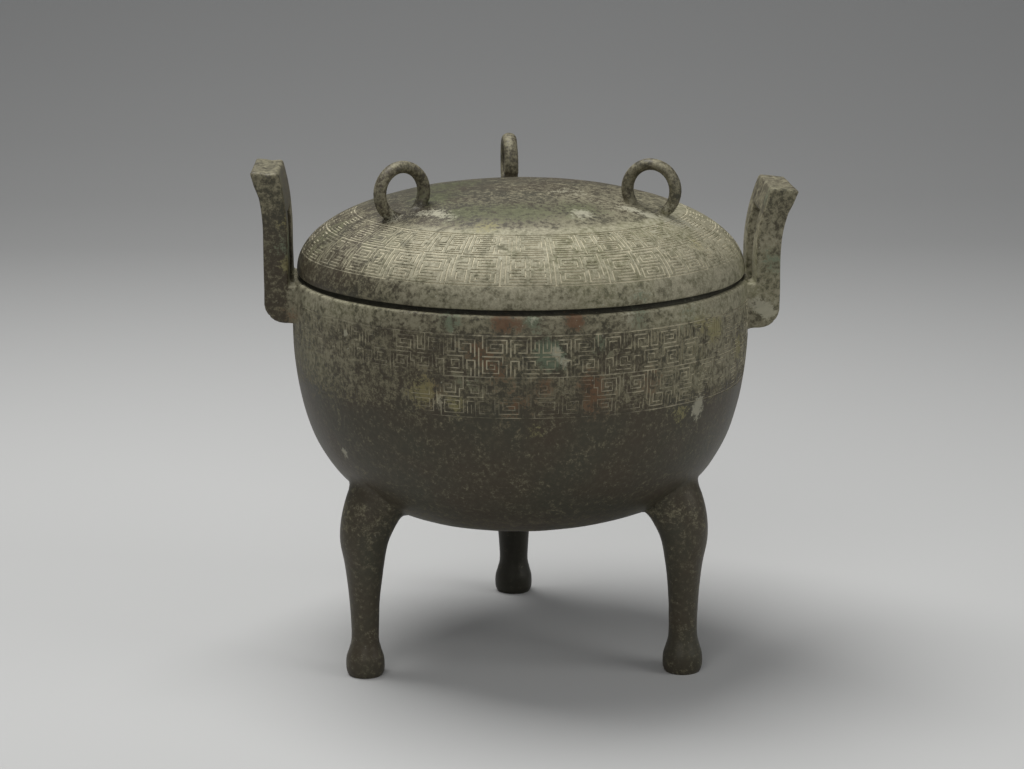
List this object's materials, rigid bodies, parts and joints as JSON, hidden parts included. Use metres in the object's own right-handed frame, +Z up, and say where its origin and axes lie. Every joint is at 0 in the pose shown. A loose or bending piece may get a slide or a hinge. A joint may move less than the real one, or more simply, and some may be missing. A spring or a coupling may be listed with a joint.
{
  "type": "lidded bronze ding vessel",
  "caption": "Round lidded cooking vessel in patinated bronze: a deep bowl on hoof-footed legs with upright ears at its sides, and a low domed lid with loop rings.",
  "frame": {"origin": "on the floor plane, on the upright axis of the bowl", "axes": "+Z up; the ears stand along X; the single leg at the back stands along +Y and the other legs point to the front left and front right"},
  "size_m": [0.2817, 0.24, 0.269],
  "materials": {
    "bowl_bronze": "old cast bronze, dark olive-brown patina with green, reddish and ochre patches, low dull gloss",
    "lid_bronze": "old cast bronze, grey-green patina with pale earth left in the lines of the pattern, low dull gloss"
  },
  "bodies": {
    "root": {"vessel": "bowl_bronze", "lid": "lid_bronze"}
  },
  "joints": []
}
